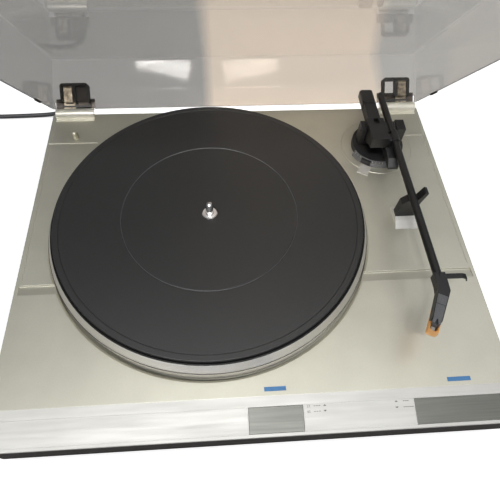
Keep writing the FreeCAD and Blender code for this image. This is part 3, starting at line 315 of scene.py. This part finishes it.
LEAF_METAL = finish_of("leaf_metal", tone(226, 214, 192), tone(92, 76, 62), (0.3, 0.45), 0.4, 260, 0.00001)
LEAF_BROWN = finish_of("leaf_brown", tone(74, 62, 54), tone(58, 48, 42), (0.3, 0.45), 0.2, 700, 0.00002)
BRIGHT = finish_of("bright_steel", tone(222, 222, 222), tone(205, 205, 206), (0.12, 0.22), 1.0,
                   1500, 0.000004)
RUBBER = finish_of("rubber_black", tone(30, 30, 30), tone(24, 24, 24), (0.6, 0.75), 0.0, 1200, 0.00004)
BRONZE = finish_of("bronze", tone(196, 150, 90), tone(170, 126, 72), (0.28, 0.4), 1.0, 900, 0.00001)
IRON = finish_of("core_iron", tone(110, 108, 104), tone(88, 86, 82), (0.5, 0.65), 0.6,
                 600, 0.00004, (1, 1, 12))
PERTINAX = finish_of("board_brown", tone(168, 132, 80), tone(146, 112, 66), (0.45, 0.6), 0.0, 500, 0.00003)
BLACK = finish_of("black_plastic", tone(24, 24, 26), tone(17, 17, 19), (0.42, 0.54), 0.0, 1100, 0.00003,
                  edge_highlight=tone(52, 52, 56))
ARM = finish_of("black_metal", tone(16, 16, 19), tone(11, 11, 13), (0.36, 0.48), 0.0, 1500, 0.000015,
                edge_highlight=tone(42, 43, 48))
GREY = finish_of("grey_plastic", tone(112, 114, 117), tone(98, 100, 103), (0.42, 0.55), 0.0, 900, 0.00003,
                 edge_highlight=tone(150, 151, 153))
ORANGE = finish_of("orange_plastic", tone(255, 186, 86), tone(255, 170, 66), (0.3, 0.42), 0.0, 500, 0.00001,
                   edge_highlight=tone(255, 214, 150))
CORD = finish_of("cord_grey", tone(74, 74, 77), tone(62, 62, 65), (0.5, 0.62), 0.0, 1400, 0.00002)
BRASS = finish_of("brass", tone(214, 190, 130), tone(196, 170, 110), (0.2, 0.3), 1.0, 900, 0.000006)
BLUE = finish_of("label_blue", tone(84, 156, 222), tone(74, 146, 212), (0.4, 0.5), 0.0, 900, 0.00001)
INK = finish_of("legend_ink", tone(96, 94, 88), tone(84, 82, 77), (0.5, 0.6), 0.0, 900, 0.000005)
PALE = finish_of("pale_mark", tone(206, 206, 200), tone(196, 196, 190), (0.5, 0.6), 0.0, 900, 0.000005)
PLATTER = turned_metal("platter_metal", tone(240, 238, 236), 0.3)
SKIRT = finish_of("platter_skirt", tone(255, 251, 242), tone(250, 245, 234), (0.5, 0.62), 0.0,
                  900, 0.00001)
# Painted shade: a near-black for the ledge under the mat's edge and the crosses in the screw heads.
SHADE_CHARCOAL = finish_of("step_shade", tone(24, 24, 24), tone(18, 18, 18), (0.5, 0.6), 0.0, 900, 0.00001)
for dull in (CASE, SHADE_CHARCOAL):
    dull.node_tree.nodes["Principled BSDF"].inputs["Specular IOR Level"].default_value = 0.2
MAT = mat_rubber()
COVER = clear_cover()

# Finishes by record slot, and those that a node has instead of its slot's

FINISHES = {
    "deck_silver": SILVER, "strip_silver": STRIP, "key_metal": KEY, "case_brown": CASE,
    "case_board": BOARD, "steel": STEEL, "bright_steel": BRIGHT, "rubber_black": RUBBER,
    "bronze": BRONZE, "core_iron": IRON,
    "board_brown": PERTINAX, "black_plastic": BLACK, "black_metal": ARM, "grey_plastic": GREY,
    "orange_plastic": ORANGE, "cord_grey": CORD, "brass": BRASS, "platter_metal": PLATTER,
    "rubber_mat": MAT, "clear_cover": COVER,
}

OWN_FINISH = {
    "hinge_covers": BARREL, "hinge_arms": LEAF_METAL, "weight_stem": ARM, "pivot_screws": DARK_STEEL,
}
SKIRT_TOP = 8.8 * MM  # the platter's skirt starts this far below the ledge that the mat lies on


def dress_nodes():
    """Give every CAD node its finish."""
    for entry in frame["record"]["subparts"]:
        mesh = nodes[entry["node"]].data
        mesh.materials.clear()
        mesh.materials.append(OWN_FINISH.get(entry["node"], FINISHES[entry["material_slot"]]))
        for polygon in mesh.polygons:
            polygon.material_index = 0
    dress_platter()


def dress_platter():
    """The polished rim keeps the node's finish; the skirt below it is satin."""
    mesh = nodes["platter"].data
    mesh.materials.append(SKIRT)
    mat_low, mat_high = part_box("rubber_mat")
    for polygon in mesh.polygons:
        centre = polygon.center
        if centre.z < mat_low.z - SKIRT_TOP and math.hypot(centre.x, centre.y) > mat_high.x:
            polygon.material_index = 1


# Places read from the frame

deck_low, deck_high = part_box("deck_plate")
floor_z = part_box("feet")[0].z
arm_base_low, arm_base_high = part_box("arm_base")
ARM_MIDDLE = (arm_base_low + arm_base_high) / 2
DECK_TOP = deck_high.z
LEFT = deck_low.x
REAR = deck_high.y
FRONT = deck_low.y
STRIP_ANGLE = math.radians(12)


# Shapes


def link_piece(name, mesh, material, body):
    piece = bpy.data.objects.new(name, mesh)
    bpy.context.scene.collection.objects.link(piece)
    mesh.materials.clear()
    mesh.materials.append(material)
    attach(piece, body)
    return piece


def strip_matrix(across, down, lift=0.0):
    """A frame on the sloping strip: across from the case's left side, down from the deck's front edge."""
    tilt = Matrix.Rotation(STRIP_ANGLE, 4, "X")
    drop = down * math.tan(STRIP_ANGLE)
    place = Vector((LEFT + across * MM, FRONT - down * MM, DECK_TOP - drop * MM))
    return Matrix.Translation(place) @ tilt @ Matrix.Translation((0, 0, lift * MM))


def slab(name, outline, thick, matrix, material, body, soften=0.1):
    """A thin plate with rounded upper edges from a flat outline in millimetres."""
    mesh = bpy.data.meshes.new(name)
    shape = bmesh.new()
    base = [shape.verts.new((x * MM, y * MM, 0)) for x, y in outline]
    face = shape.faces.new(base)
    raised = bmesh.ops.extrude_face_region(shape, geom=[face])
    top = [v for v in raised["geom"] if isinstance(v, bmesh.types.BMVert)]
    bmesh.ops.translate(shape, vec=(0, 0, thick * MM), verts=top)
    rim = [e for e in shape.edges if all(v in top for v in e.verts)]
    bmesh.ops.bevel(shape, geom=rim, offset=soften * MM, segments=2, affect="EDGES")
    bmesh.ops.recalc_face_normals(shape, faces=shape.faces)
    shape.transform(matrix)
    shape.to_mesh(mesh)
    shape.free()
    return link_piece(name, mesh, material, body)


def rounded_outline(width, depth, radius, steps=4):
    """Corner points of a rounded rectangle about the origin."""
    points = []
    for quarter, (sx, sy) in enumerate(((1, 1), (-1, 1), (-1, -1), (1, -1))):
        cx = sx * (width / 2 - radius)
        cy = sy * (depth / 2 - radius)
        for step in range(steps + 1):
            angle = math.radians(90 * quarter + 90 * step / steps)
            points.append((cx + radius * math.cos(angle), cy + radius * math.sin(angle)))
    return points


def lettering(name, words, height, matrix, material, body):
    """Generic printed characters, as thin raised ink."""
    data = bpy.data.curves.new(name, "FONT")
    data.body = words
    data.size = height * MM * 1.35
    data.extrude = 0.01 * MM
    source = bpy.data.objects.new(name + "_source", data)
    bpy.context.scene.collection.objects.link(source)
    bpy.context.view_layer.update()
    mesh = bpy.data.meshes.new_from_object(source)
    bpy.data.objects.remove(source)
    mesh.transform(matrix)
    return link_piece(name, mesh, material, body)


# Printed marks: rows of the strip's marks by their way down it, and the deck's blue plates

SPEED_ROWS = (("33", 10.4), ("45", 14.6))
CUE_ROWS = (9.6, 14.2)
CUE_MARK_ACROSS = 76.2
CUE_DASH_ACROSS = 82.5
BLUE_PLATES = (("speed_label", 228.4, 18), ("cue_label", 383.5, 20))


def arrow(half, foot, points_up):
    """A small triangle that points to or away from the deck."""
    if points_up:
        return ((-half, -foot), (half, -foot), (0, 0.7))
    return ((-half, foot), (0, -0.7), (half, foot))


def strip_mark(name, outline, across, down):
    slab(name, outline, 0.03, strip_matrix(across, down, 0.01), INK, "case", 0.01)


def add_marks():
    panel_left = (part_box("centre_panel")[0].x - LEFT) / MM
    for row, (figures, down) in enumerate(SPEED_ROWS):
        lettering("speed_figures_%d" % row, figures, 2.1, strip_matrix(panel_left + 2.2, down, 0.02),
                  INK, "case")
        for dash in range(3):
            strip_mark("speed_dash_%d_%d" % (row, dash), rounded_outline(1.5, 0.45, 0.15),
                       panel_left + 8.6 + 2.0 * dash, down - 0.9)
        strip_mark("speed_mark_%d" % row, arrow(1.3, 0.6, row == 0), panel_left + 17, down - 1.0)
    for row, down in enumerate(CUE_ROWS):
        strip_mark("cue_mark_%d" % row, arrow(1.4, 0.5, row == 0), panel_left + CUE_MARK_ACROSS, down)
        for dash in range(3 + 2 * row):
            strip_mark("cue_dash_%d_%d" % (row, dash), rounded_outline(1.3, 0.5, 0.15),
                       panel_left + CUE_DASH_ACROSS + 1.7 * dash, down)
    for name, centre, width in BLUE_PLATES:
        place = Matrix.Translation((LEFT + centre * MM, FRONT + 5.4 * MM, DECK_TOP))
        slab(name, rounded_outline(width, 3.6, 0.3), 0.25, place, BLUE, "case", 0.08)


TICKS = 13
FIRST_TICK = -153
TICK_STEP = 7
TICK_RADIUS = 30.08
TICK_HEIGHT = 5.0
TICK_SLOPE = math.atan2(2.4, 1.1)


def add_scale_ticks():
    """Fine marks on the sloping face of the scale ring, every third one long."""
    for index in range(TICKS):
        turn = Matrix.Rotation(math.radians(FIRST_TICK + index * TICK_STEP), 4, "Z")
        place = Matrix.Translation((ARM_MIDDLE.x, ARM_MIDDLE.y, DECK_TOP + TICK_HEIGHT * MM)) @ turn
        place = place @ Matrix.Translation((TICK_RADIUS * MM, 0, 0)) @ Matrix.Rotation(TICK_SLOPE, 4, "Y")
        long = 2.0 if index % 3 == 0 else 1.2
        slab("scale_tick_%d" % index, rounded_outline(long, 0.35, 0.1), 0.06, place, PALE,
             "antiskate", 0.02)


# Rings: name, inner radius, width, bottom, top, material and slot of those on the platter

ARM_RING = ((0, -0.1), (0.25, 0.22), (0.9, 0.32), (1.5, 0.22), (1.8, -0.1))
ARM_RING_RADIUS = 38.6
PLATTER_RINGS = (
    ("mat_line", 83.8, 0.55, -0.95, -0.42, GREY, "grey_plastic"),
    ("mat_edge_line", 140.9, 0.5, -0.6, -0.4, RUBBER, "rubber_black"),
    # The two rim rings are painted shade: a black line under the rim's flare and a near-black band on the
    # ledge under the mat's edge.
    ("rim_shade_line", 153.1, 0.3, -12.9, -12.3, RUBBER, "rubber_black"),
    ("rim_shade_band", 147.05, 2.05, -3.6, -3.1, SHADE_CHARCOAL, "rubber_black"),
)


def band(name, centre, radius, profile, material, body, steps=96):
    """A closed ring turned about a vertical axis from a small section (out, up) in millimetres."""
    mesh = bpy.data.meshes.new(name)
    shape = bmesh.new()
    loops = []
    for step in range(steps):
        angle = 2 * math.pi * step / steps
        loops.append([
            shape.verts.new((
                centre[0] + (radius + out) * MM * math.cos(angle),
                centre[1] + (radius + out) * MM * math.sin(angle),
                centre[2] + up * MM,
            ))
            for out, up in profile
        ])
    count = len(profile)
    for step in range(steps):
        here, after = loops[step], loops[(step + 1) % steps]
        for corner in range(count):
            beside = (corner + 1) % count
            face = shape.faces.new((here[corner], after[corner], after[beside], here[beside]))
            face.smooth = True
    bmesh.ops.recalc_face_normals(shape, faces=shape.faces)
    shape.to_mesh(mesh)
    shape.free()
    return link_piece(name, mesh, material, body)


def add_rings():
    """The pressed ring round the arm's base, the lines on the mat, and dark rings of painted shade on the
    platter's rim.
    """
    band("arm_ring", (ARM_MIDDLE.x, ARM_MIDDLE.y, DECK_TOP), ARM_RING_RADIUS, ARM_RING, SILVER,
         "case")
    for name, radius, width, low, high, material, slot_name in PLATTER_RINGS:
        section = ((0, low), (width, low), (width, high), (0, high))
        band(name, (0, 0, 0), radius, section, material, "platter", 144)


def add_screw_crosses():
    """Crosses in the heads of the four screws under the case, near-black slabs as painted shade in their
    recesses.
    """
    low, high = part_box("base_screws")
    head = 3.2 * MM
    for column, x in enumerate((low.x + head, high.x - head)):
        for row, y in enumerate((low.y + head, high.y - head)):
            flip = Matrix.Translation((x, y, low.z)) @ Matrix.Rotation(math.pi, 4, "X")
            for bar, turn in enumerate((0.6, 0.6 + math.pi / 2)):
                slab("screw_slot_%d_%d_%d" % (column, row, bar), rounded_outline(3.6, 0.8, 0.2), 0.04,
                     flip @ Matrix.Rotation(turn, 4, "Z"), SHADE_CHARCOAL, "case", 0.01)


# The head's frame, as in the solids: the arm's pivot, its yaw and dip, and the head's offset angle

HEAD_FRAME = (
    Matrix.Translation(Vector((188.8, 101.3, 4.5)) * MM)
    @ Matrix.Rotation(math.radians(-1.1), 4, "Z")
    @ Matrix.Rotation(math.radians(-2.93), 4, "X")
    @ Matrix.Translation(Vector((9.5, -202, 3.3)) * MM)
    @ Matrix.Rotation(math.radians(-26.5), 4, "Z")
)
FORK = (
    (-4.4, -33.8), (-4.4, -42.0), (-3.6, -42.6), (3.6, -42.6), (4.4, -42.0), (4.4, -33.8),
    (3.0, -33.8), (2.8, -40.2), (1.6, -41.4), (-1.6, -41.4), (-2.8, -40.2), (-3.0, -33.8),
)
FORK_BLOCK = ((-3.2, -13), (-3.2, -39), (3.2, -39), (3.2, -13))
FORK_TOE = ((-3.6, -42.3), (-2.6, -39.2), (2.6, -39.2), (3.6, -42.3))
TONGUE_ALONG = -38.2


def add_stylus():
    """The stylus guard as a thin fork with a pale tongue between its prongs."""
    for name, outline, low, thick, along, material, soften in (
        ("stylus_fork", FORK, -7.4, 6.4, 0, ORANGE, 0.35),
        ("stylus_block", FORK_BLOCK, -12.6, 5.0, 0, ORANGE, 0.3),
        ("stylus_toe", FORK_TOE, -9.0, 2.6, 0, ORANGE, 0.3),
        ("stylus_tongue", rounded_outline(3.4, 6.0, 0.5), -5.0, 1.2, TONGUE_ALONG, PALE, 0.2),
    ):
        place = HEAD_FRAME @ Matrix.Translation((0, along * MM, low * MM))
        piece = slab(name, outline, thick, place, material, "stylus", soften)
        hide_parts("stylus_holder")


# Plates at the hinges, in the plane of the open cover's rear wall

COVER_OPEN = 52.1
CLIP_WIDTH = 32
LEAF_LOW, LEAF_HIGH, LEAF_WIDTH = 4.4, 15, 45
TONGUE_LOW, TONGUE_HIGH, TONGUE_WIDTH = 9.5, 27.5, 9.4
HINGES = (("left", 8.2, 4.2), ("right", 4.8, 18.2))


def on_wall(left, width, low, high, depth, thick, name, material):
    """A plate on the rear wall: across, up the wall from the hinge pins, and behind them."""
    pin_low, pin_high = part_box("hinge_pins")
    axis = Vector((0, (pin_low.y + pin_high.y) / 2, (pin_low.z + pin_high.z) / 2))
    wall = Matrix.Translation(axis) @ Matrix.Rotation(math.radians(90 - COVER_OPEN), 4, "X")
    outline = ((left, low), (left + width, low), (left + width, high), (left, high))
    slab(name, outline, thick, wall @ Matrix.Translation((0, 0, -depth * MM)), material, "lid")


def add_hinge_leaves():
    """Dark leaves where the cover's wall is cut away, and a metal tongue in each clip."""
    low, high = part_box("hinge_clips")
    clips = {"left": low.x / MM, "right": high.x / MM - CLIP_WIDTH}
    for side, before, cell in HINGES:
        start = clips[side]
        on_wall(start - before, LEAF_WIDTH, LEAF_LOW, LEAF_HIGH, 3.0, 0.8, "hinge_leaf_" + side,
                LEAF_BROWN)
        on_wall(start + cell, TONGUE_WIDTH, TONGUE_LOW, TONGUE_HIGH, -5.9, 0.4, "hinge_tongue_" + side,
                LEAF_METAL)
    on_wall(clips["left"] + 17, 13, 14, 29, 3.0, 0.8, "hinge_plate", LEAF_BROWN)


# Mains lead, its route as in the solids: across from the case's left, behind its rear, below the deck's
# top, or on the floor where the last is None

CORD_RADIUS = 2.8
LEAD_POINTS = (
    (30, 18, -38), (30, 38, -38), (20, 54, -42), (0.5, 62.5, -47), (-26, 63, None),
    (-68, 61.5, None), (-108, 61, None), (-138, 65.5, None), (-164, 66.5, None),
)
TAIL_POINTS = ((-216, 66.5, None), (-240, 65.3, None), (-268, 56.5, None))
COIL_CENTRE = (-190, 27)
COIL_TURNS = 6
COIL_OUTER = 39.5
COIL_PITCH = 5.7
POINTS_PER_TURN = 14


def lead_place(point):
    across, back, height = point
    z = floor_z + CORD_RADIUS * MM if height is None else DECK_TOP + height * MM
    return Vector((LEFT + across * MM, REAR + back * MM, z))


def coil_points():
    """Three turns inwards on the floor and three outwards on top of them."""
    points = []
    for step in range(1, COIL_TURNS * POINTS_PER_TURN):
        turns = step / POINTS_PER_TURN
        angle = math.radians(90) + turns * 2 * math.pi
        inward = min(turns, COIL_TURNS - turns)
        radius = COIL_OUTER - COIL_PITCH * inward
        upper = min(max((turns - 2.6) / 0.8, 0), 1)
        lower = min(max((turns - 5.55) / 0.45, 0), 1)
        height = floor_z + (CORD_RADIUS + COIL_PITCH * upper * (1 - lower)) * MM
        points.append(Vector((
            LEFT + (COIL_CENTRE[0] + radius * math.cos(angle)) * MM,
            REAR + (COIL_CENTRE[1] + radius * math.sin(angle)) * MM,
            height,
        )))
    return points


def add_lead():
    route = [lead_place(p) for p in LEAD_POINTS] + coil_points() + [lead_place(p) for p in TAIL_POINTS]
    curve = bpy.data.curves.new("mains_cord", "CURVE")
    curve.dimensions = "3D"
    spline = curve.splines.new("NURBS")
    spline.points.add(len(route) - 1)
    for point, place in zip(spline.points, route):
        point.co = (place.x, place.y, place.z, 1)
    spline.order_u = 3
    spline.use_endpoint_u = True
    curve.resolution_u = 8
    curve.bevel_depth = CORD_RADIUS * MM
    curve.bevel_resolution = 5
    cord = bpy.data.objects.new("mains_cord", curve)
    bpy.context.scene.collection.objects.link(cord)
    curve.materials.append(CORD)
    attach(cord, "case")
    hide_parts("mains_lead", "mains_coil", "mains_tail")


# Floor, light and world


def straight_rays(tree, level):
    """The level for rays that come straight or through the clear cover from the camera, else 0."""
    path = tree.nodes.new("ShaderNodeLightPath")
    both = tree.nodes.new("ShaderNodeMath")
    both.operation = "MAXIMUM"
    tree.links.new(path.outputs["Is Camera Ray"], both.inputs[0])
    tree.links.new(path.outputs["Is Transmission Ray"], both.inputs[1])
    scaled = tree.nodes.new("ShaderNodeMath")
    scaled.operation = "MULTIPLY"
    scaled.inputs[1].default_value = level
    tree.links.new(both.outputs["Value"], scaled.inputs[0])
    return scaled.outputs["Value"]


FLOOR_HALF = 4.0
FLOOR_GLOW = 0.72


def add_floor():
    """A pale floor that looks white where the camera sees it straight or through the cover."""
    mesh = bpy.data.meshes.new("floor")
    corners = [(-1, -1), (1, -1), (1, 1), (-1, 1)]
    mesh.from_pydata([(x * FLOOR_HALF, y * FLOOR_HALF, 0) for x, y in corners], [], [(0, 1, 2, 3)])
    floor = bpy.data.objects.new("floor", mesh)
    floor.location.z = floor_z
    bpy.context.scene.collection.objects.link(floor)
    recipe = Recipe("floor")
    recipe.colour(recipe.mix(recipe.noise(6), tone(240, 240, 240), tone(236, 236, 236)))
    recipe.set("Roughness", 0.8)
    recipe.set("Emission Color", (1, 1, 1, 1))
    recipe.link(straight_rays(recipe.tree, FLOOR_GLOW), recipe.shader.inputs["Emission Strength"])
    mesh.materials.append(recipe.material)


def add_world():
    """A dim room for the light, and plain white for straight rays."""
    world = bpy.data.worlds.new("world")
    bpy.context.scene.world = world
    world.use_nodes = True
    tree = world.node_tree
    lit = tree.nodes["Background"]
    lit.inputs["Color"].default_value = (1, 1, 1, 1)
    place = tree.nodes.new("ShaderNodeTexCoord")
    split = tree.nodes.new("ShaderNodeSeparateXYZ")
    tree.links.new(place.outputs["Generated"], split.inputs["Vector"])
    lean = tree.nodes.new("ShaderNodeMath")
    lean.operation = "MULTIPLY_ADD"
    lean.inputs[1].default_value = -ROOM_LEAN
    tree.links.new(split.outputs["Y"], lean.inputs[0])
    tree.links.new(split.outputs["Z"], lean.inputs[2])
    fall = tree.nodes.new("ShaderNodeMapRange")
    fall.inputs["From Min"].default_value, fall.inputs["From Max"].default_value = ROOM_FALL
    fall.inputs["To Min"].default_value = ROOM_DARK
    fall.inputs["To Max"].default_value = ROOM_LIGHT
    tree.links.new(lean.outputs["Value"], fall.inputs["Value"])
    tree.links.new(fall.outputs["Result"], lit.inputs["Strength"])
    seen = tree.nodes.new("ShaderNodeBackground")
    seen.inputs["Color"].default_value = (1, 1, 1, 1)
    seen.inputs["Strength"].default_value = 1.0
    mixed = tree.nodes.new("ShaderNodeMixShader")
    tree.links.new(straight_rays(tree, 1.0), mixed.inputs["Fac"])
    tree.links.new(lit.outputs["Background"], mixed.inputs[1])
    tree.links.new(seen.outputs["Background"], mixed.inputs[2])
    tree.links.new(mixed.outputs["Shader"], tree.nodes["World Output"].inputs["Surface"])


def add_light(name, place, aim, size, power, mirrored_only=False):
    """A rectangular lamp; one that is mirrored only casts no light on matt surfaces."""
    data = bpy.data.lights.new(name, "AREA")
    data.shape = "RECTANGLE"
    data.size, data.size_y = size
    data.energy = power
    lamp = bpy.data.objects.new(name, data)
    lamp.location = place
    lamp.rotation_euler = (Vector(aim) - Vector(place)).to_track_quat("-Z", "Y").to_euler()
    lamp.visible_diffuse = not mirrored_only
    bpy.context.scene.collection.objects.link(lamp)


def add_lights():
    """A broad soft light above, and two ceiling windows that only show as reflections."""
    add_light("overhead", (0.48, 0.04, 1.8), (0.15, 0.02, 0), (2.4, 2.4), 16.2)
    add_light("ceiling_left", (-0.33, -1.15, 2.4), (0, 0, 0), (0.34, 0.12), 80, True)
    add_light("ceiling_right", (0.24, -1.18, 2.4), (0, 0, 0), (0.36, 0.12), 26, True)


bpy.context.scene.view_settings.view_transform = "Standard"
add_camera()
add_lead()
dress_nodes()
add_marks()
add_scale_ticks()
add_rings()
add_screw_crosses()
add_stylus()
add_hinge_leaves()
add_floor()
add_world()
add_lights()
